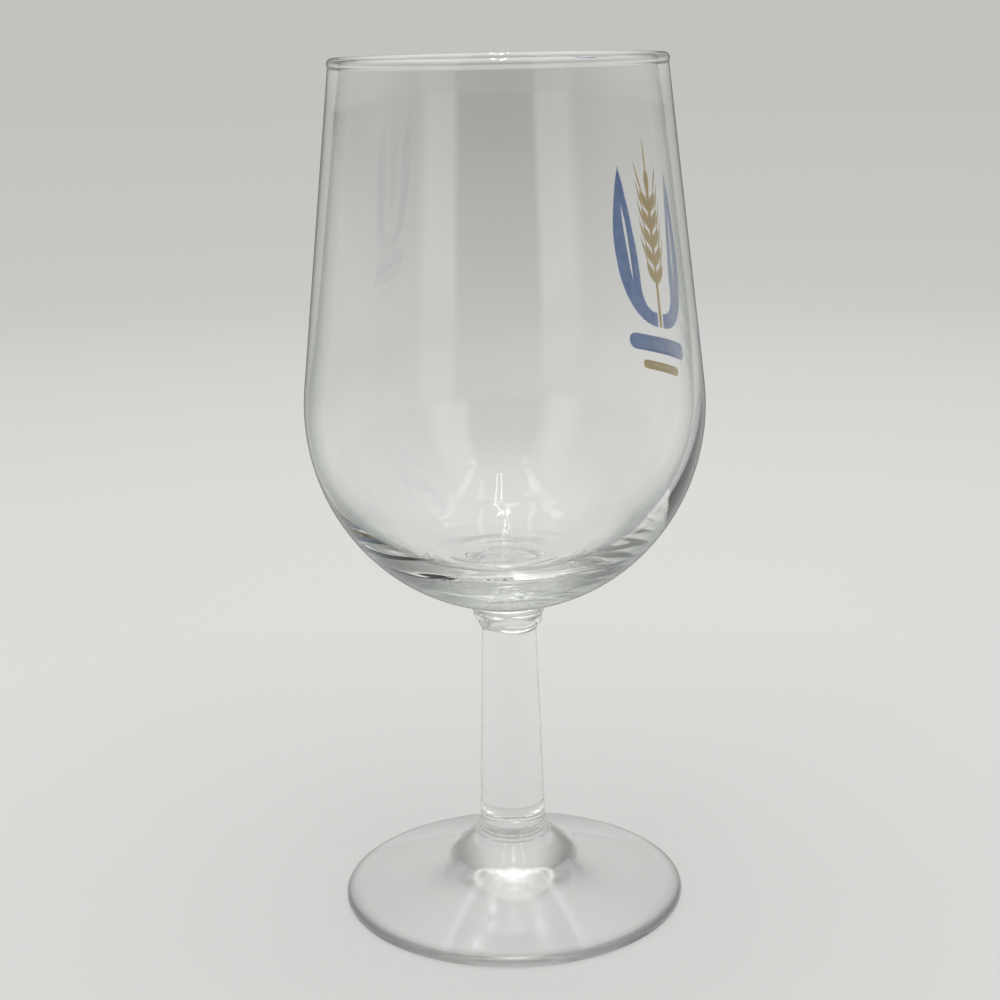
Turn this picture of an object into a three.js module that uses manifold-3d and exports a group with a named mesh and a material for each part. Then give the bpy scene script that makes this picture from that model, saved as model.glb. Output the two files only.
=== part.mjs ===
// A stemmed beer goblet: a blown bowl, a solid drawn stem and a pressed foot, welded end to end while hot,
// with a motif in blue and gold enamel fired on the bowl. Millimetres, +Z up, the foot standing on z = 0.
import * as THREE from 'three';
import { mergeVertices } from 'three/addons/utils/BufferGeometryUtils.js';
import Module from 'manifold-3d';

// Foot: a shallow cone with a rounded edge, a steep hub in the middle and a hollow underside
const FOOT_RADIUS = 36.5;
const FOOT_EDGE = 2.4;
const FOOT_SLOPE_RISE = 6.3;
const FOOT_HOLLOW = 4.5;
const REST_WIDTH = 4.5;
const HUB_RADIUS = 13.3;
const HUB_RISE = 5.8;
const HUB_TOP_RADIUS = 8.2;
const HUB_FILLET = 2.0;

// Stem: a solid rod, a little thicker towards the foot, with a collar where it is welded on
const STEM_LENGTH = 45.5;
const STEM_TOP_RADIUS = 5.75;
const STEM_BOTTOM_RADIUS = 6.95;
const COLLAR_RADIUS = 7.9;
const COLLAR_HEIGHT = 4.2;
const COLLAR_LIP = 0.7;

// Bowl: a round belly under a straight side that narrows to the lip, on a short neck
const NECK_HEIGHT = 5.6;
const NECK_TOP_RADIUS = 8.3;
const NECK_FILLET = 1.2;
const BELLY_RADIUS = 41;
const BELLY_DEPTH = 42.4;
const SIDE_HEIGHT = 70;
const LIP_RADIUS = 33.6;
const BELLY_WALL = 1.5;
const LIP_WALL = 2.1;
const LIP_BEAD = 0.1;
const FLOOR_THICKNESS = 9.1;
const FLOOR_RADIUS = 11;

// Enamel: films that follow the bowl's outer wall, drawn thicker than fired colour so that they stay solids
const ENAMEL_THICKNESS = 0.2;
const ENAMEL_CLEARANCE = 0.1;
const MOTIF_BEARING = 28;
const MOTIF_DROP = 17;
const INK_GAP = 0.5;
const BAR_GAP = 2.2;
const GOLD_BAR_LENGTH = 15;
const GOLD_BAR_HEIGHT = 2;
const BLUE_BAR_LENGTH = 23;
const BLUE_BAR_HEIGHT = 3.6;
const STALK_WIDTH = 1.1;
const STALK_LENGTH = 9.5;
const GRAIN_PAIRS = 5;
const GRAIN_PITCH = 3.8;
const GRAIN_LENGTH = 5.6;
const GRAIN_WIDTH = 2;
const GRAIN_TILT = 34;
const AWN_LENGTH = 6;
const AWN_WIDTH = 0.5;
const AWN_TILT = 19;
const LEAF_WIDTH = 7.5;
const LEAF_LENGTH = 34;
const LEAF_VEIN_WIDTH = 0.9;
const LEAF_VEIN_TILT = 5;

// Facets
const ROUND_SEGMENTS = 72;
const BELLY_STEPS = 12;
const CORNER_STEPS = 3;
const LIP_STEPS = 8;
const HOLLOW_STEPS = 5;
const PRINT_STEPS = 7;

const wasm = await Module();
wasm.setup();

// Heights of the two welds and of the bowl, each standing on the one below
const footWeld = FOOT_EDGE + FOOT_SLOPE_RISE + HUB_RISE;
const bowlWeld = footWeld + STEM_LENGTH;
const bowlUnderside = bowlWeld + NECK_HEIGHT;
const bellyHeight = bowlUnderside + BELLY_DEPTH;
const lipHeight = bellyHeight + SIDE_HEIGHT;

const point = (r, z) => new THREE.Vector2(r, z);

// Points along part of an ellipse about (r, z), angles in radians from the outward direction
function ellipse(r, z, radius, height, from, to, steps) {
  const points = [];
  for (let i = 0; i <= steps; i++) {
    const angle = from + (to - from) * i / steps;
    points.push(point(r + radius * Math.cos(angle), z + height * Math.sin(angle)));
  }
  return points;
}

// A corner from one point to another, rounded by a parabola
function roundedCorner(from, corner, to, steps = CORNER_STEPS) {
  return new THREE.QuadraticBezierCurve(from, corner, to).getPoints(steps);
}

// The angle at which a straight wall from a point above touches an ellipse
function tangentAngle(r, z, radius, height, from) {
  const across = (from.x - r) / radius;
  const up = (from.y - z) / height;
  return Math.atan2(up, across) - Math.acos(1 / Math.hypot(across, up));
}

// A solid of revolution about +Z from a profile that starts and ends on the axis, or closes on itself
function revolve(profile) {
  return new THREE.LatheGeometry(profile, ROUND_SEGMENTS).rotateX(Math.PI / 2);
}

function footProfile() {
  const edgeRadius = FOOT_EDGE / 2;
  const edgeCentre = point(FOOT_RADIUS - edgeRadius, edgeRadius);
  const restInner = edgeCentre.x - REST_WIDTH;
  const hubFoot = point(HUB_RADIUS, FOOT_EDGE + FOOT_SLOPE_RISE);
  const hubTop = point(HUB_TOP_RADIUS, footWeld);
  const hubSide = hubTop.clone().sub(hubFoot).setLength(HUB_FILLET);
  const slope = point(edgeCentre.x, FOOT_EDGE).sub(hubFoot).setLength(HUB_FILLET);
  const slopeAngle = Math.atan2(FOOT_SLOPE_RISE, edgeCentre.x - HUB_RADIUS);
  return [
    ...roundedCorner(point(0, FOOT_HOLLOW), point(restInner / 2, FOOT_HOLLOW), point(restInner, 0), HOLLOW_STEPS),
    ...ellipse(edgeCentre.x, edgeCentre.y, edgeRadius, edgeRadius, -Math.PI / 2, Math.PI / 2 - slopeAngle, LIP_STEPS),
    ...roundedCorner(hubFoot.clone().add(slope), hubFoot, hubFoot.clone().add(hubSide)),
    hubTop,
    point(0, footWeld),
  ];
}

function stemProfile() {
  const lipCentre = point(COLLAR_RADIUS - COLLAR_LIP, footWeld + COLLAR_LIP);
  const collarTop = point(STEM_BOTTOM_RADIUS, footWeld + COLLAR_HEIGHT);
  const collarWaist = point(STEM_BOTTOM_RADIUS, footWeld + COLLAR_HEIGHT / 2);
  return [
    point(0, footWeld),
    ...ellipse(lipCentre.x, lipCentre.y, COLLAR_LIP, COLLAR_LIP, -Math.PI / 2, 0, CORNER_STEPS),
    ...roundedCorner(point(COLLAR_RADIUS, lipCentre.y), collarWaist, collarTop).slice(1),
    point(STEM_TOP_RADIUS, bowlWeld),
    point(0, bowlWeld),
  ];
}

// The lip's round bead, and the straight outer wall from the belly up to it
const beadRadius = LIP_WALL / 2 + LIP_BEAD;
const beadCentre = point(LIP_RADIUS - beadRadius, lipHeight - beadRadius);
const beadTuck = Math.PI / 6;

function outerWall(offset) {
  const wallTop = point(beadCentre.x + LIP_WALL / 2, beadCentre.y - beadRadius);
  const neckAngle = -Math.acos((NECK_TOP_RADIUS + NECK_FILLET) / BELLY_RADIUS);
  const touch = tangentAngle(0, bellyHeight, BELLY_RADIUS, BELLY_DEPTH, wallTop);
  const wall = ellipse(0, bellyHeight, BELLY_RADIUS, BELLY_DEPTH, neckAngle, touch, BELLY_STEPS);
  wall.push(wallTop);
  return wall.map((p) => point(p.x + offset, p.y));
}

function innerWall() {
  const wallTop = point(beadCentre.x - LIP_WALL / 2, beadCentre.y - beadRadius);
  const radius = BELLY_RADIUS - BELLY_WALL - FLOOR_RADIUS;
  const depth = BELLY_DEPTH - FLOOR_THICKNESS;
  const touch = tangentAngle(FLOOR_RADIUS, bellyHeight, radius, depth, wallTop);
  return [wallTop, ...ellipse(FLOOR_RADIUS, bellyHeight, radius, depth, touch, -Math.PI / 2, BELLY_STEPS)];
}

function bowlProfile() {
  const weldEdge = point(STEM_TOP_RADIUS, bowlWeld);
  const underside = outerWall(0);
  const neckDrop = Math.sqrt(1 - (NECK_TOP_RADIUS / BELLY_RADIUS) ** 2) * BELLY_DEPTH;
  const neckTop = point(NECK_TOP_RADIUS, bellyHeight - neckDrop);
  const neckSide = weldEdge.clone().sub(neckTop).setLength(NECK_FILLET).add(neckTop);
  const bead = ellipse(beadCentre.x, beadCentre.y, beadRadius, beadRadius, -beadTuck, Math.PI + beadTuck, LIP_STEPS);
  const inside = innerWall();
  return [
    point(0, bowlWeld),
    weldEdge,
    ...roundedCorner(neckSide, neckTop, underside[0]),
    ...underside.slice(1),
    ...bead,
    ...inside,
    point(0, inside.at(-1).y),
  ];
}

// A closed mesh as a solid that can be joined and cut, and back again
function toSolid(geometry) {
  geometry.deleteAttribute('normal');
  geometry.deleteAttribute('uv');
  const merged = mergeVertices(geometry);
  const vertProperties = new Float32Array(merged.attributes.position.array);
  const triVerts = new Uint32Array(merged.index.array);
  return new wasm.Manifold(new wasm.Mesh({ numProp: 3, vertProperties, triVerts }));
}

function toGeometry(solid) {
  const { vertProperties, triVerts } = solid.getMesh();
  const geometry = new THREE.BufferGeometry();
  geometry.setAttribute('position', new THREE.BufferAttribute(vertProperties, 3));
  geometry.setIndex(new THREE.BufferAttribute(triVerts, 1));
  return geometry;
}

// The enamel's skin all round the bowl, of which each film keeps the part inside its own outlines
function enamelSkin() {
  const inner = outerWall(ENAMEL_CLEARANCE);
  const outer = outerWall(ENAMEL_CLEARANCE + ENAMEL_THICKNESS);
  return toSolid(revolve([...outer, ...inner.reverse(), outer[0]]));
}

// The motif is drawn flat, across and up, and stands upright on the bowl at its bearing
const radians = THREE.MathUtils.degToRad;
const grainReach = GRAIN_LENGTH * Math.sin(radians(GRAIN_TILT));
const earReach = grainReach + AWN_LENGTH * Math.sin(radians(AWN_TILT)) + AWN_WIDTH;
const goldBarTop = GOLD_BAR_HEIGHT;
const blueBarTop = goldBarTop + BAR_GAP + BLUE_BAR_HEIGHT;
const motifFoot = blueBarTop + BAR_GAP;
const grainStart = motifFoot + STALK_LENGTH;
const earTop = grainStart + GRAIN_PAIRS * GRAIN_PITCH + GRAIN_LENGTH + AWN_LENGTH;
const motifBase = lipHeight - MOTIF_DROP - earTop;

function motifMatrix() {
  const bearing = radians(MOTIF_BEARING);
  const out = new THREE.Vector3(Math.cos(bearing), Math.sin(bearing), 0);
  const up = new THREE.Vector3(0, 0, 1);
  const across = new THREE.Vector3().crossVectors(up, out);
  return new THREE.Matrix4().makeBasis(across, up, out).setPosition(0, 0, motifBase);
}

const skin = enamelSkin();
const placeMotif = motifMatrix();

// One film of enamel from the flat outlines that make it up
function film(outlines) {
  const settings = { depth: BELLY_RADIUS + BELLY_WALL, bevelEnabled: false, curveSegments: PRINT_STEPS };
  const prisms = outlines.map((outline) => {
    return toSolid(new THREE.ExtrudeGeometry(outline, settings).applyMatrix4(placeMotif));
  });
  const whole = prisms.reduce((sum, prism) => sum.add(prism));
  return toGeometry(skin.intersect(whole));
}

// A plain bar with round ends
function bar(length, height, bottom) {
  const end = length / 2 - height / 2;
  const middle = bottom + height / 2;
  const shape = new THREE.Shape();
  shape.absarc(end, middle, height / 2, -Math.PI / 2, Math.PI / 2);
  shape.absarc(-end, middle, height / 2, Math.PI / 2, 3 * Math.PI / 2);
  return shape;
}

// A pointed oval that starts at (across, up) and leans outwards by a tilt in degrees, to the right if positive
function petal(across, up, length, width, tilt) {
  const along = point(Math.sin(radians(tilt)), Math.cos(radians(tilt)));
  const aside = point(along.y, -along.x);
  const place = (a, b) => point(across, up).addScaledVector(along, a).addScaledVector(aside, b);
  const start = place(0, 0);
  const tip = place(length, 0);
  const right = place(length / 2, width);
  const left = place(length / 2, -width);
  const shape = new THREE.Shape().moveTo(start.x, start.y);
  shape.quadraticCurveTo(right.x, right.y, tip.x, tip.y);
  shape.quadraticCurveTo(left.x, left.y, start.x, start.y);
  return shape;
}

// A grain with its awn, which grows from inside the grain
function grain(up, tilt, awnTilt) {
  const rootDepth = GRAIN_LENGTH / 3;
  const root = GRAIN_LENGTH - rootDepth;
  const rootAcross = root * Math.sin(radians(tilt));
  const rootUp = up + root * Math.cos(radians(tilt));
  return [
    petal(0, up, GRAIN_LENGTH, GRAIN_WIDTH, tilt),
    petal(rootAcross, rootUp, rootDepth + AWN_LENGTH, AWN_WIDTH, awnTilt),
  ];
}

function ear() {
  const grainTop = grainStart + GRAIN_PAIRS * GRAIN_PITCH;
  const half = STALK_WIDTH / 2;
  const stalk = new THREE.Shape().moveTo(-half, motifFoot).lineTo(half, motifFoot);
  stalk.lineTo(half, grainTop + GRAIN_LENGTH / 4).lineTo(-half, grainTop + GRAIN_LENGTH / 4);
  const outlines = [stalk, ...grain(grainTop, 0, 0)];
  for (let pair = 0; pair < GRAIN_PAIRS; pair++) {
    const up = grainStart + pair * GRAIN_PITCH;
    outlines.push(...grain(up, GRAIN_TILT, AWN_TILT), ...grain(up, -GRAIN_TILT, -AWN_TILT));
  }
  return outlines;
}

// A leaf that clasps the stalk and hugs the ear, with its vein left bare; side is 1 or -1
function leaf(side) {
  const inner = STALK_WIDTH / 2 + INK_GAP;
  const hug = earReach + INK_GAP;
  const spread = hug + LEAF_WIDTH;
  const tip = point(hug + LEAF_WIDTH / 2, motifFoot + LEAF_LENGTH);
  const clasp = motifFoot + STALK_LENGTH / 3;
  const belly = motifFoot + LEAF_LENGTH / 2;
  const shape = new THREE.Shape().moveTo(side * inner, motifFoot);
  shape.bezierCurveTo(side * spread, motifFoot, side * (spread + LEAF_WIDTH / 3), belly, side * tip.x, tip.y);
  shape.quadraticCurveTo(side * hug, belly, side * hug, grainStart);
  shape.quadraticCurveTo(side * hug, clasp, side * inner, clasp);
  const veinAcross = side * (hug + LEAF_WIDTH / 3);
  shape.holes.push(petal(veinAcross, grainStart, LEAF_LENGTH / 2, LEAF_VEIN_WIDTH, side * LEAF_VEIN_TILT));
  return shape;
}

const CLEAR_GLASS = { color: 0xe9eeea, roughness: 0.02, metalness: 0, transparent: true, opacity: 0.35 };
const BLUE_ENAMEL = { color: 0x4a6fb0, roughness: 0.35, metalness: 0 };
const GOLD_ENAMEL = { color: 0xc2a255, roughness: 0.38, metalness: 0 };

const goblet = new THREE.Group();

function add(name, geometry, finish) {
  const mesh = new THREE.Mesh(geometry, new THREE.MeshStandardMaterial(finish));
  mesh.name = name;
  goblet.add(mesh);
}

add('foot', revolve(footProfile()), CLEAR_GLASS);
add('stem', revolve(stemProfile()), CLEAR_GLASS);
add('bowl', revolve(bowlProfile()), CLEAR_GLASS);
add('gold_barley_ear', film(ear()), GOLD_ENAMEL);
add('gold_bar', film([bar(GOLD_BAR_LENGTH, GOLD_BAR_HEIGHT, 0)]), GOLD_ENAMEL);
add('blue_leaf_right', film([leaf(1)]), BLUE_ENAMEL);
add('blue_leaf_left', film([leaf(-1)]), BLUE_ENAMEL);
add('blue_bar', film([bar(BLUE_BAR_LENGTH, BLUE_BAR_HEIGHT, goldBarTop + BAR_GAP)]), BLUE_ENAMEL);

export default goblet;
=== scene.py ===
"""A stemmed beer goblet in clear glass, with a blue and gold enamel motif, on a pale studio table."""
import math

import bmesh
import bpy
from mathutils import Matrix, Vector, noise
from mathutils.geometry import delaunay_2d_cdt, interpolate_bezier


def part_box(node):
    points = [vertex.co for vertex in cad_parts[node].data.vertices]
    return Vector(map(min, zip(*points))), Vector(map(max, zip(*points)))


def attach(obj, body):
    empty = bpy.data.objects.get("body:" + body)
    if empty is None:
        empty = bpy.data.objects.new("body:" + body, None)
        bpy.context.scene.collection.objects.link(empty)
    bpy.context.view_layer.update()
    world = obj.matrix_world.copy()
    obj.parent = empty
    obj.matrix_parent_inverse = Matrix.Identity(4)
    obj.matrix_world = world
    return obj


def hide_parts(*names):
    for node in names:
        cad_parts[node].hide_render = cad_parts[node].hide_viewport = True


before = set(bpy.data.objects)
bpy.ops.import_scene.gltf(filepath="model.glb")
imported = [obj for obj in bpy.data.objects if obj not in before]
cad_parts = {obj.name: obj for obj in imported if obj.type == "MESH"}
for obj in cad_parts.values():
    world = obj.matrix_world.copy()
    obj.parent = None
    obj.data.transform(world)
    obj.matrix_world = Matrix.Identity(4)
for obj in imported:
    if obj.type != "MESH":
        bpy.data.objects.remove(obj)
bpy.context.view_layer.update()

MM = 0.001


def outer_radius(node):
    low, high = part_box(node)
    return (high.x - low.x) / 2


# Sizes that the solids give
FOOT_RADIUS = outer_radius("foot")
COLLAR_RADIUS = outer_radius("stem")
BELLY_RADIUS = outer_radius("bowl")
FOOT_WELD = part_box("stem")[0].z
BOWL_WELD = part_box("bowl")[0].z
LIP_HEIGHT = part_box("bowl")[1].z
MOTIF_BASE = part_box("gold_bar")[0].z

# Foot; its hub meets the plate a little higher than in the solid
FOOT_EDGE = 2.4 * MM
FOOT_HOLLOW = 4.5 * MM
REST_WIDTH = 2.4 * MM
HUB_RADIUS = 12.9 * MM
HUB_RISE = 4.4 * MM
HUB_TOP_RADIUS = 8.2 * MM
HUB_FILLET = 2.0 * MM

# Stem
STEM_TOP_RADIUS = 5.75 * MM
STEM_BOTTOM_RADIUS = 6.95 * MM
COLLAR_HEIGHT = 4.2 * MM
COLLAR_LIP = 0.7 * MM

# Bowl
NECK_HEIGHT = 5.6 * MM
NECK_TOP_RADIUS = 8.3 * MM
NECK_FILLET = 1.2 * MM
SIDE_HEIGHT = 70 * MM
LIP_RADIUS = 33.6 * MM
BELLY_WALL = 1.5 * MM
LIP_WALL = 2.1 * MM
LIP_BEAD = 0.1 * MM
FLOOR_THICKNESS = 9.1 * MM
FLOOR_RADIUS = 11 * MM
BELLY_HEIGHT = LIP_HEIGHT - SIDE_HEIGHT
BELLY_DEPTH = BELLY_HEIGHT - BOWL_WELD - NECK_HEIGHT
FLOOR_HEIGHT = BOWL_WELD + NECK_HEIGHT + FLOOR_THICKNESS

# How far the blown glass is from a true round: its inside leans and ripples, its floor has uneven rings
# and its neck is uneven
CAVITY_LEAN = 1.0 * MM
LEAN_TOP = 125 * MM
LEAN_FULL = 90 * MM
RIPPLE_HEIGHT = 0.02 * MM
RIPPLE_LENGTH = 11 * MM
FLOOR_RIPPLE_HEIGHT = 0.3 * MM
FLOOR_RIPPLE_LENGTH = 9 * MM
FLOOR_RIPPLE_PITCH = 2.5 * MM
FLOOR_RIPPLE_REACH = 7 * MM
NECK_RIPPLE_HEIGHT = 0.8 * MM
NECK_RIPPLE_LENGTHS = (6 * MM, 6 * MM, 1.9 * MM)

# Where the lower bowl's wall grows thick, by height and by radius, and its grey-green tint, partly painted
# shade, sets in sooner
THICK_TOP = 95 * MM
THICK_FULL = 82 * MM
THICK_INNER = 21 * MM
THICK_OUTER = 28 * MM

# Steps round the glass and along its profiles
ROUND_STEPS = 192
WALL_STEPS = 48
EDGE_STEPS = 24
NECK_STEPS = 16
FILLET_STEPS = 8
SIDE_STEPS = 8
FLOOR_STEPS = 10

# Edges that turn by more degrees than this stay sharp
CREASE_ANGLE = 35

# How close points are taken as one, and faces or points as lying in a weld or on the inner wall
MERGE_DISTANCE = 0.0005 * MM
WELD_TOLERANCE = 0.001 * MM
WALL_TOLERANCE = 0.01 * MM

# Enamel motif, drawn flat in millimetres and wrapped on the bowl
MOTIF_BEARING = 28
FILM_GRID = 1.0
FILM_JOIN = 1e-5
INSIDE_ONLY = 1
PETAL_STEPS = 12
BAR_END_STEPS = 16
LEAF_OUTSIDE_STEPS = 24
LEAF_INSIDE_STEPS = 16
LEAF_CLAW_STEPS = 10
ENAMEL_CLEARANCE = 0.02 * MM
ENAMEL_THICKNESS = 0.06 * MM
INK_GAP = 0.5
BAR_GAP = 2.2
GOLD_BAR_LENGTH = 15
GOLD_BAR_HEIGHT = 2
BLUE_BAR_LENGTH = 23
BLUE_BAR_HEIGHT = 3.6
STALK_WIDTH = 1.1
STALK_LENGTH = 9.5
GRAIN_PAIRS = 5
GRAIN_PITCH = 3.8
GRAIN_LENGTH = 5.6
GRAIN_WIDTH = 2
GRAIN_TILT = 34
AWN_LENGTH = 6
AWN_WIDTH = 0.5
AWN_TILT = 19
LEAF_WIDTH = 7.5
LEAF_LENGTH = 34
LEAF_VEIN_WIDTH = 0.9
LEAF_VEIN_TILT = 5

# The camera, fitted to the rim and the foot in the photograph
CAMERA_PLACE = (0, -375.8 * MM, 184.1 * MM)
CAMERA_PITCH = -14.35
CAMERA_YAW = -0.21
CAMERA_ROLL = -1.19
FOCAL_LENGTH = 67.2
SENSOR_WIDTH = 36
NEAREST_SEEN = 0.01
FARTHEST_SEEN = 100


def make_camera():
    data = bpy.data.cameras.new("camera")
    data.lens = FOCAL_LENGTH
    data.sensor_width = SENSOR_WIDTH
    data.clip_start = NEAREST_SEEN
    data.clip_end = FARTHEST_SEEN
    camera = bpy.data.objects.new("camera", data)
    turn = Matrix.Rotation(math.radians(-CAMERA_YAW), 4, "Z")
    tilt = Matrix.Rotation(math.radians(90 + CAMERA_PITCH), 4, "X")
    roll = Matrix.Rotation(math.radians(CAMERA_ROLL), 4, "Z")
    camera.matrix_world = Matrix.Translation(CAMERA_PLACE) @ turn @ tilt @ roll
    bpy.context.scene.collection.objects.link(camera)
    bpy.context.scene.camera = camera


make_camera()


# Helpers for nodes and meshes

def linear(code):
    """An sRGB hex value as linear red, green, blue and alpha."""
    channels = [int(code[i:i + 2], 16) / 255 for i in (1, 3, 5)]
    return [c / 12.92 if c <= 0.04045 else ((c + 0.055) / 1.055) ** 2.4 for c in channels] + [1]


def add(tree, kind, settings=None, inputs=None, stops=None):
    """A new node; an input is a value or the socket that it is linked to, and a ramp takes its stops."""
    node = tree.nodes.new(kind)
    for name, value in (settings or {}).items():
        setattr(node, name, value)
    for name, value in (inputs or {}).items():
        if isinstance(value, bpy.types.NodeSocket):
            tree.links.new(value, node.inputs[name])
        else:
            node.inputs[name].default_value = value
    if stops:
        elements = node.color_ramp.elements
        for place, colour in stops[1:-1]:
            elements.new(place).color = colour
        for element, (place, colour) in zip(elements, stops):
            element.position = place
            element.color = colour
    return node


def new_tree(name):
    material = bpy.data.materials.new(name)
    material.use_nodes = True
    material.node_tree.nodes.clear()
    return material, material.node_tree


def finish_piece(name, mesh, materials, node):
    """Turns a bmesh into a piece with the given finishes, hung from the root, and hides the solid that it
    stands for.
    """
    data = bpy.data.meshes.new(name)
    mesh.to_mesh(data)
    mesh.free()
    for material in materials:
        data.materials.append(material)
    piece = bpy.data.objects.new(name, data)
    bpy.context.scene.collection.objects.link(piece)
    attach(piece, "root")
    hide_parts(node)


def parabola(start, middle, end, steps):
    """Points along a parabola between two points, drawn to the middle one."""
    start, middle, end = (Vector(p).to_3d() for p in (start, middle, end))
    first = start.lerp(middle, 2 / 3)
    second = end.lerp(middle, 2 / 3)
    return [tuple(p.xy) for p in interpolate_bezier(start, first, second, end, steps + 1)]


# Glass pieces, turned from profiles of (radius, height)

def ellipse(r, z, across, up, start, end, steps):
    """Points along part of an ellipse, with angles in degrees from the outward direction."""
    angles = [math.radians(start + (end - start) * i / steps) for i in range(steps + 1)]
    return [(r + across * math.cos(a), z + up * math.sin(a)) for a in angles]


def towards(start, end, distance):
    """The point that lies a distance from the start on the way to the end."""
    start, end = Vector(start), Vector(end)
    return tuple(start + (end - start).normalized() * distance)


def touch_angle(r, z, across, up, point):
    """The angle in degrees at which a straight wall from a point above touches an ellipse."""
    x = (point[0] - r) / across
    y = (point[1] - z) / up
    return math.degrees(math.atan2(y, x) - math.acos(1 / math.hypot(x, y)))


def foot_profile():
    edge = FOOT_EDGE / 2
    edge_r = FOOT_RADIUS - edge
    rest_inner = edge_r - REST_WIDTH
    hub_foot = (HUB_RADIUS, FOOT_WELD - HUB_RISE)
    hub_top = (HUB_TOP_RADIUS, FOOT_WELD)
    slope = math.degrees(math.atan2(hub_foot[1] - FOOT_EDGE, edge_r - HUB_RADIUS))
    hollow = parabola((0, FOOT_HOLLOW), (rest_inner / 2, FOOT_HOLLOW), (rest_inner, 0), EDGE_STEPS)
    rim = ellipse(edge_r, edge, edge, edge, -90, 90 - slope, EDGE_STEPS)
    fillet_start = towards(hub_foot, rim[-1], HUB_FILLET)
    fillet_end = towards(hub_foot, hub_top, HUB_FILLET)
    hub = parabola(fillet_start, hub_foot, fillet_end, FILLET_STEPS)
    return hollow + rim + hub + [hub_top, (0, FOOT_WELD)]


def stem_profile():
    lip_r = COLLAR_RADIUS - COLLAR_LIP
    lip_z = FOOT_WELD + COLLAR_LIP
    collar_top = (STEM_BOTTOM_RADIUS, FOOT_WELD + COLLAR_HEIGHT)
    collar_waist = (STEM_BOTTOM_RADIUS, FOOT_WELD + COLLAR_HEIGHT / 2)
    lip = ellipse(lip_r, lip_z, COLLAR_LIP, COLLAR_LIP, -90, 0, FILLET_STEPS)
    flare = parabola(lip[-1], collar_waist, collar_top, FILLET_STEPS)
    return [(0, FOOT_WELD)] + lip + flare[1:] + [(STEM_TOP_RADIUS, BOWL_WELD), (0, BOWL_WELD)]


BEAD = LIP_WALL / 2 + LIP_BEAD
BEAD_RADIUS = LIP_RADIUS - BEAD
BEAD_HEIGHT = LIP_HEIGHT - BEAD


def outer_wall():
    """The outside of the bowl, from the neck up to the lip."""
    wall_top = (BEAD_RADIUS + LIP_WALL / 2, BEAD_HEIGHT - BEAD)
    neck_angle = -math.degrees(math.acos((NECK_TOP_RADIUS + NECK_FILLET) / BELLY_RADIUS))
    touch = touch_angle(0, BELLY_HEIGHT, BELLY_RADIUS, BELLY_DEPTH, wall_top)
    belly = ellipse(0, BELLY_HEIGHT, BELLY_RADIUS, BELLY_DEPTH, neck_angle, touch, WALL_STEPS)
    return belly + [wall_top]


def inner_wall():
    """The inside of the bowl, from the lip down to the middle of its floor."""
    wall_top = Vector((BEAD_RADIUS - LIP_WALL / 2, BEAD_HEIGHT - BEAD))
    across = BELLY_RADIUS - BELLY_WALL - FLOOR_RADIUS
    depth = BELLY_DEPTH - FLOOR_THICKNESS
    touch = touch_angle(FLOOR_RADIUS, BELLY_HEIGHT, across, depth, wall_top)
    curve = ellipse(FLOOR_RADIUS, BELLY_HEIGHT, across, depth, touch, -90, WALL_STEPS)
    side = [tuple(wall_top.lerp(Vector(curve[0]), i / SIDE_STEPS)) for i in range(SIDE_STEPS)]
    rings = [FLOOR_RADIUS * (1 - i / FLOOR_STEPS) for i in range(1, FLOOR_STEPS + 1)]
    return side + curve + [(r, curve[-1][1]) for r in rings]


def bowl_profile():
    underside = outer_wall()
    neck_drop = math.sqrt(1 - (NECK_TOP_RADIUS / BELLY_RADIUS) ** 2) * BELLY_DEPTH
    neck_top = (NECK_TOP_RADIUS, BELLY_HEIGHT - neck_drop)
    weld_edge = (STEM_TOP_RADIUS, BOWL_WELD)
    neck = parabola(towards(neck_top, weld_edge, NECK_FILLET), neck_top, underside[0], FILLET_STEPS)
    cone = [tuple(Vector(weld_edge).lerp(Vector(neck[0]), i / NECK_STEPS)) for i in range(NECK_STEPS)]
    lip = ellipse(BEAD_RADIUS, BEAD_HEIGHT, BEAD, BEAD, -30, 210, EDGE_STEPS)
    return [(0, BOWL_WELD)] + cone + neck + underside[1:] + lip, inner_wall()


def turned(profile, weld_heights):
    """A solid of revolution; its flat faces at the weld heights take the second finish."""
    mesh = bmesh.new()
    points = [mesh.verts.new((r, 0, z)) for r, z in profile]
    edges = [mesh.edges.new(pair) for pair in zip(points, points[1:])]
    bmesh.ops.spin(
        mesh, geom=points + edges, cent=(0, 0, 0), axis=(0, 0, 1), angle=2 * math.pi,
        steps=ROUND_STEPS, use_merge=True,
    )
    bmesh.ops.remove_doubles(mesh, verts=mesh.verts, dist=MERGE_DISTANCE)
    bmesh.ops.recalc_face_normals(mesh, faces=mesh.faces)
    for face in mesh.faces:
        face.smooth = True
        if any(all(abs(v.co.z - z) < WELD_TOLERANCE for v in face.verts) for z in weld_heights):
            face.material_index = 1
    for edge in mesh.edges:
        edge.smooth = edge.calc_face_angle(0) < math.radians(CREASE_ANGLE)
    return mesh


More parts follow.
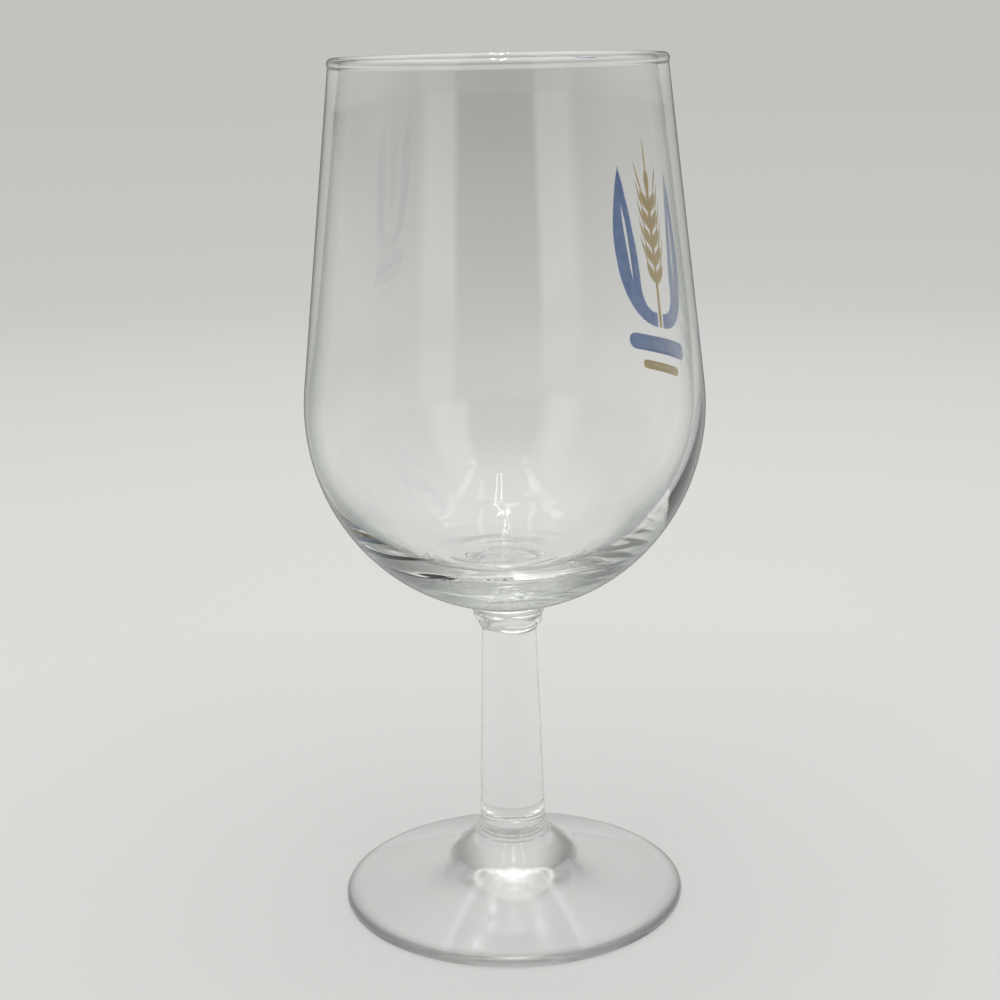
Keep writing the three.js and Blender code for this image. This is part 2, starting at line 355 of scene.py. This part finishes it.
def blown_inside(mesh, inside):
    """Leans the bowl's inside, ripples its wall and rings its floor, as blowing and turning leave them."""
    walls = {round(z / MM, 3): r for r, z in reversed(inside)}
    for vert in mesh.verts:
        wall = walls.get(round(vert.co.z / MM, 3))
        radius = vert.co.xy.length
        if wall is None or radius > wall + WALL_TOLERANCE:
            continue
        depth = min((LIP_HEIGHT - vert.co.z) / SIDE_HEIGHT, 1)
        low = max(1 - (vert.co.z - FLOOR_HEIGHT) / FLOOR_RIPPLE_REACH, 0)
        ripple = noise.noise(vert.co / RIPPLE_LENGTH) * RIPPLE_HEIGHT * depth
        rings = vert.co / FLOOR_RIPPLE_LENGTH
        rings.z = radius / FLOOR_RIPPLE_PITCH
        ripple += noise.noise(rings) * FLOOR_RIPPLE_HEIGHT * low
        vert.co -= vert.normal * ripple
        lean = min(max((LEAN_TOP - vert.co.z) / (LEAN_TOP - LEAN_FULL), 0), 1)
        vert.co.x -= CAVITY_LEAN * lean


def drawn_neck(mesh):
    """Ripples the neck, which was drawn out by hand to meet the stem."""
    for vert in mesh.verts:
        up = (vert.co.z - BOWL_WELD) / NECK_HEIGHT
        if 0 < up < 1:
            waves = Vector([c / length for c, length in zip(vert.co, NECK_RIPPLE_LENGTHS)])
            ripple = noise.noise(waves) * NECK_RIPPLE_HEIGHT
            vert.co += vert.normal * ripple * math.sin(math.pi * up)


# Finishes

GLASS_IOR = 1.52
STRAIGHT_END = 0.3
HAZE_START = 0.78
EDGE_HAZE = 0.5
ENAMEL_IOR = 1.5
ENAMEL_ROUGHNESS = 0.35
BLOTCH_SIZE = 2.5 * MM


def clear_glass(name, roughness, edge_tint_and_shade, rim_shade, depth_tint_and_shade):
    """Soda-lime glass: clear, with painted shade that greys it towards the thicker lip where the eye looks
    straight through; grey-green and hazy where it looks along a wall, sooner so where the wall is thick,
    a tint that is partly the glass's own and partly painted shade; and with painted shade on the foot's
    rim."""
    material, tree = new_tree(name)
    place = add(tree, "ShaderNodeTexCoord")
    axes = add(tree, "ShaderNodeSeparateXYZ", inputs={"Vector": place.outputs["Object"]})
    height = add(tree, "ShaderNodeMapRange", inputs={
        "Value": axes.outputs["Z"],
        "From Min": BELLY_HEIGHT,
        "From Max": LIP_HEIGHT,
    })
    # Painted shade: the glass greys where the eye looks straight through it, more so towards the lip
    body = add(tree, "ShaderNodeValToRGB", inputs={"Fac": height.outputs[0]}, stops=[
        (0.35, linear("#FAFAFA")),
        (1, linear("#EAEAEA")),
    ])
    edge = add(tree, "ShaderNodeLayerWeight", inputs={"Blend": 0.5})
    straight = add(tree, "ShaderNodeMapRange", inputs={
        "Value": edge.outputs["Facing"],
        "From Max": STRAIGHT_END,
        "To Min": 1,
        "To Max": 0,
    })
    through = add(tree, "ShaderNodeMix", {"data_type": "RGBA"}, {
        "Factor": straight.outputs[0],
        "A": (1, 1, 1, 1),
        "B": body.outputs["Color"],
    })
    flat = add(tree, "ShaderNodeCombineXYZ", inputs={"X": axes.outputs["X"], "Y": axes.outputs["Y"]})
    radius = add(tree, "ShaderNodeVectorMath", {"operation": "LENGTH"}, {0: flat.outputs[0]})
    outside = add(tree, "ShaderNodeMapRange", inputs={
        "Value": radius.outputs["Value"],
        "From Min": THICK_INNER,
        "From Max": THICK_OUTER,
        "To Max": depth_tint_and_shade,
    })
    thick = add(tree, "ShaderNodeMapRange", inputs={
        "Value": axes.outputs["Z"],
        "From Min": THICK_TOP,
        "From Max": THICK_FULL,
        "To Max": outside.outputs[0],
    })
    slant = add(tree, "ShaderNodeMath", {"operation": "ADD"}, {
        0: edge.outputs["Facing"],
        1: thick.outputs[0],
    })
    # Grey-green along a wall and in the thick lower bowl: partly the glass's own tint, partly painted shade
    # darkening its edges
    along = add(tree, "ShaderNodeValToRGB", inputs={"Fac": slant.outputs[0]}, stops=[
        (0, linear("#FFFFFF")),
        (0.6, linear("#FDFDFD")),
        (0.74, linear("#D3D9D5")),
        (0.84, linear("#8C9791")),
        (1, linear("#404A45")),
    ])
    tint = add(tree, "ShaderNodeMix", {"data_type": "RGBA", "blend_type": "MULTIPLY"}, {
        "Factor": edge_tint_and_shade,
        "A": through.outputs["Result"],
        "B": along.outputs["Color"],
    })
    # Painted shade: a darker grey-green at the foot's rim
    rim = add(tree, "ShaderNodeMapRange", {"interpolation_type": "SMOOTHSTEP"}, {
        "Value": radius.outputs["Value"],
        "From Min": FOOT_RADIUS - FOOT_EDGE,
        "From Max": FOOT_RADIUS,
        "To Max": rim_shade,
    })
    colour = add(tree, "ShaderNodeMix", {"data_type": "RGBA"}, {
        "Factor": rim.outputs[0],
        "A": tint.outputs["Result"],
        "B": linear("#7C8882"),
    })
    blur = add(tree, "ShaderNodeMapRange", inputs={
        "Value": edge.outputs["Facing"],
        "From Min": HAZE_START,
        "From Max": 1,
        "To Min": roughness,
        "To Max": EDGE_HAZE,
    })
    shader = add(tree, "ShaderNodeBsdfPrincipled", inputs={
        "Base Color": colour.outputs["Result"],
        "Roughness": blur.outputs[0],
        "IOR": GLASS_IOR,
        "Transmission Weight": 1,
    })
    add(tree, "ShaderNodeOutputMaterial", inputs={"Surface": shader.outputs["BSDF"]})
    return material


def fused_weld():
    """The inside of a weld, where two pieces were melted into one: nothing shows there."""
    material, tree = new_tree("fused_weld")
    shader = add(tree, "ShaderNodeBsdfTransparent", inputs={"Color": (1, 1, 1, 1)})
    add(tree, "ShaderNodeOutputMaterial", inputs={"Surface": shader.outputs["BSDF"]})
    return material


def enamel(name, thin, full):
    """Glass enamel, screen-printed and fired: a satin film, paler where the pigment is thinner."""
    material, tree = new_tree(name)
    place = add(tree, "ShaderNodeTexCoord")
    blotch = add(tree, "ShaderNodeTexNoise", inputs={
        "Vector": place.outputs["Object"],
        "Scale": 1 / BLOTCH_SIZE,
        "Detail": 4,
    })
    pigment = add(tree, "ShaderNodeValToRGB", inputs={"Fac": blotch.outputs["Fac"]}, stops=[
        (0.32, linear(thin)),
        (0.62, linear(full)),
    ])
    shader = add(tree, "ShaderNodeBsdfPrincipled", inputs={
        "Base Color": pigment.outputs["Color"],
        "Roughness": ENAMEL_ROUGHNESS,
        "IOR": ENAMEL_IOR,
    })
    add(tree, "ShaderNodeOutputMaterial", inputs={"Surface": shader.outputs["BSDF"]})
    return material


weld = fused_weld()
pressed = clear_glass("pressed_soda_lime_glass", roughness=0.11, edge_tint_and_shade=0.2, rim_shade=0.6, depth_tint_and_shade=0)
drawn = clear_glass("drawn_soda_lime_glass", roughness=0, edge_tint_and_shade=0.25, rim_shade=0, depth_tint_and_shade=0)
blown = clear_glass("blown_soda_lime_glass", roughness=0, edge_tint_and_shade=1, rim_shade=0, depth_tint_and_shade=0.15)
foot_mesh = turned(foot_profile(), [FOOT_WELD])
finish_piece("glass_foot", foot_mesh, [pressed, weld], "foot")
stem_mesh = turned(stem_profile(), [FOOT_WELD, BOWL_WELD])
finish_piece("glass_stem", stem_mesh, [drawn, weld], "stem")
bowl_outside, bowl_inside = bowl_profile()
bowl_mesh = turned(bowl_outside + bowl_inside, [BOWL_WELD])
blown_inside(bowl_mesh, bowl_inside)
drawn_neck(bowl_mesh)
finish_piece("glass_bowl", bowl_mesh, [blown, weld], "bowl")


# Enamel films, drawn flat in millimetres, (across, up) from the foot of the motif

def petal(across, up, length, width, tilt):
    """A pointed oval that leans by a tilt in degrees, to the right if positive."""
    along = Vector((math.sin(math.radians(tilt)), math.cos(math.radians(tilt))))
    aside = Vector((along.y, -along.x)) * width
    start = Vector((across, up))
    middle = start + along * length / 2
    tip = start + along * length
    right = parabola(start, middle + aside, tip, PETAL_STEPS)
    left = parabola(tip, middle - aside, start, PETAL_STEPS)
    return right + left[1:-1]


def bar(length, height, bottom):
    """A bar with round ends."""
    end = length / 2 - height / 2
    middle = bottom + height / 2
    round_end = height / 2
    right = ellipse(end, middle, round_end, round_end, -90, 90, BAR_END_STEPS)
    left = ellipse(-end, middle, round_end, round_end, 90, 270, BAR_END_STEPS)
    return right + left


grain_reach = GRAIN_LENGTH * math.sin(math.radians(GRAIN_TILT))
ear_reach = grain_reach + AWN_LENGTH * math.sin(math.radians(AWN_TILT)) + AWN_WIDTH
motif_foot = GOLD_BAR_HEIGHT + BAR_GAP + BLUE_BAR_HEIGHT + BAR_GAP
grain_start = motif_foot + STALK_LENGTH


def grain(up, tilt, awn_tilt):
    """A grain with its awn, which grows from inside the grain."""
    root_depth = GRAIN_LENGTH / 3
    root = GRAIN_LENGTH - root_depth
    root_across = root * math.sin(math.radians(tilt))
    root_up = up + root * math.cos(math.radians(tilt))
    return [
        petal(0, up, GRAIN_LENGTH, GRAIN_WIDTH, tilt),
        petal(root_across, root_up, root_depth + AWN_LENGTH, AWN_WIDTH, awn_tilt),
    ]


def ear():
    half = STALK_WIDTH / 2
    grain_top = grain_start + GRAIN_PAIRS * GRAIN_PITCH
    stalk_top = grain_top + GRAIN_LENGTH / 4
    outlines = [[(-half, motif_foot), (half, motif_foot), (half, stalk_top), (-half, stalk_top)]]
    outlines += grain(grain_top, 0, 0)
    for pair in range(GRAIN_PAIRS):
        up = grain_start + pair * GRAIN_PITCH
        outlines += grain(up, GRAIN_TILT, AWN_TILT) + grain(up, -GRAIN_TILT, -AWN_TILT)
    return outlines


def leaf(side):
    """A leaf that clasps the stalk and hugs the ear, and the vein that is left bare in it."""
    inner = STALK_WIDTH / 2 + INK_GAP
    hug = ear_reach + INK_GAP
    spread = hug + LEAF_WIDTH
    belly = motif_foot + LEAF_LENGTH / 2
    clasp = motif_foot + STALK_LENGTH / 3
    root = Vector((inner, motif_foot, 0))
    tip = Vector((hug + LEAF_WIDTH / 2, motif_foot + LEAF_LENGTH, 0))
    low_pull = Vector((spread, motif_foot, 0))
    high_pull = Vector((spread + LEAF_WIDTH / 3, belly, 0))
    curve = interpolate_bezier(root, low_pull, high_pull, tip, LEAF_OUTSIDE_STEPS + 1)
    outside = [tuple(p.xy) for p in curve]
    inside = parabola(tip.xy, (hug, belly), (hug, grain_start), LEAF_INSIDE_STEPS)
    claw = parabola((hug, grain_start), (hug, clasp), (inner, clasp), LEAF_CLAW_STEPS)
    outline = outside + inside[1:] + claw[1:]
    vein = petal(hug + LEAF_WIDTH / 3, grain_start, LEAF_LENGTH / 2, LEAF_VEIN_WIDTH, LEAF_VEIN_TILT)
    return [[(side * u, v) for u, v in shape[::side]] for shape in (outline, vein)]


wall_line = outer_wall()


def wall_radius(height):
    """The bowl's outer radius at a height."""
    for (low_r, low_z), (high_r, high_z) in zip(wall_line, wall_line[1:]):
        if low_z <= height <= high_z:
            return low_r + (high_r - low_r) * (height - low_z) / (high_z - low_z)


bearing = math.radians(MOTIF_BEARING)
motif_out = Vector((math.cos(bearing), math.sin(bearing), 0))
motif_across = Vector((-math.sin(bearing), math.cos(bearing), 0))


def film(outlines, bare=()):
    """A film of enamel on the bowl from flat outlines, which join where they overlap, less bare patches."""
    shapes = list(outlines) + list(bare)
    points = [Vector(p) for shape in shapes for p in shape]
    faces = []
    for shape in shapes:
        start = sum(len(face) for face in faces)
        faces.append(list(range(start, start + len(shape))))
    wide = max(abs(p.x) for p in points)
    low = min(p.y for p in points)
    high = max(p.y for p in points)
    for i in range(int(2 * wide / FILM_GRID) + 1):
        for j in range(int((high - low) / FILM_GRID) + 1):
            points.append(Vector((-wide + (i + 0.5) * FILM_GRID, low + (j + 0.5) * FILM_GRID)))
    places, _, triangles, _, _, sources = delaunay_2d_cdt(points, [], faces, INSIDE_ONLY, FILM_JOIN)
    mesh = bmesh.new()
    verts = []
    for u, v in places:
        height = MOTIF_BASE + v * MM
        radius = wall_radius(height) + ENAMEL_CLEARANCE
        out = math.sqrt(radius ** 2 - (u * MM) ** 2)
        verts.append(mesh.verts.new(motif_across * u * MM + motif_out * out + Vector((0, 0, height))))
    for triangle, source in zip(triangles, sources):
        if source and max(source) < len(outlines):
            mesh.faces.new([verts[i] for i in triangle])
    bmesh.ops.delete(mesh, geom=[v for v in mesh.verts if not v.link_faces], context="VERTS")
    bmesh.ops.recalc_face_normals(mesh, faces=mesh.faces)
    bmesh.ops.solidify(mesh, geom=mesh.faces[:], thickness=-ENAMEL_THICKNESS)
    bmesh.ops.recalc_face_normals(mesh, faces=mesh.faces)
    for face in mesh.faces:
        face.smooth = True
    for edge in mesh.edges:
        edge.smooth = edge.calc_face_angle(0) < math.radians(CREASE_ANGLE)
    return mesh


blue = enamel("blue_glass_enamel", "#70ABFA", "#4990F4")
gold = enamel("gold_glass_enamel", "#FFE274", "#FFCE40")
blue_bar_bottom = GOLD_BAR_HEIGHT + BAR_GAP
finish_piece("gold_barley_ear_film", film(ear()), [gold], "gold_barley_ear")
gold_bar = bar(GOLD_BAR_LENGTH, GOLD_BAR_HEIGHT, 0)
finish_piece("gold_bar_film", film([gold_bar]), [gold], "gold_bar")
blue_bar = bar(BLUE_BAR_LENGTH, BLUE_BAR_HEIGHT, blue_bar_bottom)
finish_piece("blue_bar_film", film([blue_bar]), [blue], "blue_bar")
for side, name in ((1, "blue_leaf_right"), (-1, "blue_leaf_left")):
    blade, vein = leaf(side)
    finish_piece(name + "_film", film([blade], [vein]), [blue], name)


# Stage

NEAR_TINT = Vector((1, 1, 0.987))
FAR_TINT = Vector((1, 1.004, 0.965))


def grey(value, away=1):
    """A grey of the room, which is a little warmer a metre or more away."""
    return [*(NEAR_TINT.lerp(FAR_TINT, min(away, 1)) * value), 1]


# The table's painted light by distance in metres, a glow that the camera, reflections and glass see:
# brightest under the glass, dimmer just round its foot, brighter again some way off and falling away
# beyond;
# the far one is the backdrop's grey too
FAR_GREY = 0.54
FLOOR_REACH = 4
FLOOR_SIDES = 96
FLOOR_DROP = 0.02 * MM
FLOOR_PAINTED_LIGHT = [
    (0, 0.76),
    (0.04, 0.675),
    (0.1, 0.715),
    (0.2, 0.745),
    (0.35, 0.735),
    (0.6, 0.675),
    (0.9, 0.59),
    (1.4, 0.565),
    (FLOOR_REACH, FAR_GREY),
]

# The share of its painted light that the table shows over its lit paper, less near the glass, where its
# shadow falls
SHADOW_START = 0.04
SHADOW_END = 1
LEAST_SHARE = 0.72


def seen_through(tree):
    """1 for rays that the camera, a reflection or clear glass sends, and 0 for the light that falls."""
    path = add(tree, "ShaderNodeLightPath")
    first = add(tree, "ShaderNodeMath", {"operation": "MAXIMUM"}, {
        0: path.outputs["Is Camera Ray"],
        1: path.outputs["Is Glossy Ray"],
    })
    both = add(tree, "ShaderNodeMath", {"operation": "MAXIMUM"}, {
        0: first.outputs[0],
        1: path.outputs["Is Transmission Ray"],
    })
    return both.outputs[0]


def make_floor():
    mesh = bmesh.new()
    bmesh.ops.create_circle(mesh, cap_ends=True, segments=FLOOR_SIDES, radius=FLOOR_REACH)
    data = bpy.data.meshes.new("floor")
    mesh.to_mesh(data)
    mesh.free()
    floor = bpy.data.objects.new("floor", data)
    floor.location.z = -FLOOR_DROP
    bpy.context.scene.collection.objects.link(floor)
    material, tree = new_tree("pale_table")
    place = add(tree, "ShaderNodeTexCoord")
    distance = add(tree, "ShaderNodeVectorMath", {"operation": "LENGTH"}, {0: place.outputs["Object"]})
    reach = add(tree, "ShaderNodeMath", {"operation": "DIVIDE"}, {
        0: distance.outputs["Value"],
        1: FLOOR_REACH,
    })
    # Painted light and shade on the table by distance from the glass, shown as a glow
    painted_light = add(tree, "ShaderNodeValToRGB", inputs={"Fac": reach.outputs[0]},
               stops=[(away / FLOOR_REACH, grey(value, away)) for away, value in FLOOR_PAINTED_LIGHT])
    share = add(tree, "ShaderNodeMapRange", inputs={
        "Value": distance.outputs["Value"],
        "From Min": SHADOW_START,
        "From Max": SHADOW_END,
        "To Min": LEAST_SHARE,
        "To Max": 1,
    })
    seen = add(tree, "ShaderNodeMath", {"operation": "MULTIPLY"}, {
        0: share.outputs[0],
        1: seen_through(tree),
    })
    paper = add(tree, "ShaderNodeBsdfDiffuse", inputs={"Color": linear("#E0E0DE")})
    glow = add(tree, "ShaderNodeEmission", inputs={"Color": painted_light.outputs["Color"]})
    shader = add(tree, "ShaderNodeMixShader", inputs={
        0: seen.outputs[0],
        1: paper.outputs["BSDF"],
        2: glow.outputs["Emission"],
    })
    add(tree, "ShaderNodeOutputMaterial", inputs={"Surface": shader.outputs["Shader"]})
    data.materials.append(material)


# The room round the table by bearing from the viewer's side, in degrees to the right
ROOM = [
    (-180, grey(0.66)),
    (-168, grey(0.62)),
    (-158, grey(0.46)),
    (-142, grey(0.22)),
    (-105, grey(0.12)),
    (-54, grey(0.32)),
    (-46, grey(1.3)),
    (-30, grey(1.3)),
    (-26, grey(0.03)),
    (21, grey(0.03)),
    (25, grey(1.3)),
    (43, grey(1.3)),
    (52, grey(0.38)),
    (105, grey(0.24)),
    (142, grey(0.3)),
    (158, grey(0.46)),
    (168, grey(0.62)),
    (180, grey(0.66)),
]
CEILING = 1.1

# Heights on the sphere of directions, from 0 at the horizon to 1 overhead
WALL_START = 0.04
WALL_FULL = 0.08
CEILING_START = 0.55
CEILING_FULL = 0.9


def make_world():
    world = bpy.data.worlds.new("studio")
    bpy.context.scene.world = world
    world.use_nodes = True
    tree = world.node_tree
    tree.nodes.clear()
    place = add(tree, "ShaderNodeTexCoord")
    axes = add(tree, "ShaderNodeSeparateXYZ", inputs={"Vector": place.outputs["Generated"]})
    near = add(tree, "ShaderNodeMath", {"operation": "MULTIPLY"}, {0: axes.outputs["Y"], 1: -1})
    angle = add(tree, "ShaderNodeMath", {"operation": "ARCTAN2"}, {
        0: axes.outputs["X"],
        1: near.outputs[0],
    })
    round_part = add(tree, "ShaderNodeMath", {"operation": "MULTIPLY_ADD"}, {
        0: angle.outputs[0],
        1: 0.5 / math.pi,
        2: 0.5,
    })
    room = add(tree, "ShaderNodeValToRGB", inputs={"Fac": round_part.outputs[0]},
               stops=[(0.5 + turn / 360, colour) for turn, colour in ROOM])
    above_table = add(tree, "ShaderNodeMapRange", {"interpolation_type": "SMOOTHSTEP"}, {
        "Value": axes.outputs["Z"],
        "From Min": WALL_START,
        "From Max": WALL_FULL,
    })
    walls = add(tree, "ShaderNodeMix", {"data_type": "RGBA"}, {
        "Factor": above_table.outputs[0],
        "A": grey(FAR_GREY),
        "B": room.outputs["Color"],
    })
    overhead = add(tree, "ShaderNodeMapRange", {"interpolation_type": "SMOOTHSTEP"}, {
        "Value": axes.outputs["Z"],
        "From Min": CEILING_START,
        "From Max": CEILING_FULL,
    })
    tent = add(tree, "ShaderNodeMix", {"data_type": "RGBA"}, {
        "Factor": overhead.outputs[0],
        "A": walls.outputs["Result"],
        "B": grey(CEILING),
    })
    path = add(tree, "ShaderNodeLightPath")
    backdrop = add(tree, "ShaderNodeMix", {"data_type": "RGBA"}, {
        "Factor": path.outputs["Is Camera Ray"],
        "A": tent.outputs["Result"],
        "B": grey(FAR_GREY),
    })
    background = add(tree, "ShaderNodeBackground", inputs={
        "Color": backdrop.outputs["Result"],
        "Strength": 1,
    })
    add(tree, "ShaderNodeOutputWorld", inputs={"Surface": background.outputs["Background"]})


# Lamps over the table: a tube at each side, and two rows of small lamps along the middle
LAMP_HEIGHT = 0.62
TUBE_ACROSS = 0.17
TUBE_WIDTH = 0.04
TUBE_LENGTH = 0.8
TUBE_WATTS = 0.17
ROW_ACROSS = 0.012
ROW_COUNT = 12
ROW_PITCH = 0.042
SPOT_WIDTH = 0.009
SPOT_LENGTH = 0.024
SPOT_WATTS = 0.017


def make_lamp(name, across, along, width, length, watts):
    data = bpy.data.lights.new(name, "AREA")
    data.shape = "RECTANGLE"
    data.size = width
    data.size_y = length
    data.energy = watts
    lamp = bpy.data.objects.new(name, data)
    lamp.location = (across, along, LAMP_HEIGHT)
    lamp.visible_camera = False
    bpy.context.scene.collection.objects.link(lamp)


def make_lamps():
    for side in (-1, 1):
        make_lamp("tube", side * TUBE_ACROSS, 0, TUBE_WIDTH, TUBE_LENGTH, TUBE_WATTS)
        for number in range(ROW_COUNT):
            along = (number - (ROW_COUNT - 1) / 2) * ROW_PITCH
            make_lamp("spot", side * ROW_ACROSS, along, SPOT_WIDTH, SPOT_LENGTH, SPOT_WATTS)


make_floor()
make_world()
make_lamps()
bpy.context.scene.view_settings.view_transform = "Standard"

# Light crosses many faces of a glass before it gets out
BOUNCES = 32
cycles = bpy.context.scene.cycles
cycles.max_bounces = BOUNCES
cycles.glossy_bounces = BOUNCES
cycles.transmission_bounces = BOUNCES
cycles.transparent_max_bounces = BOUNCES
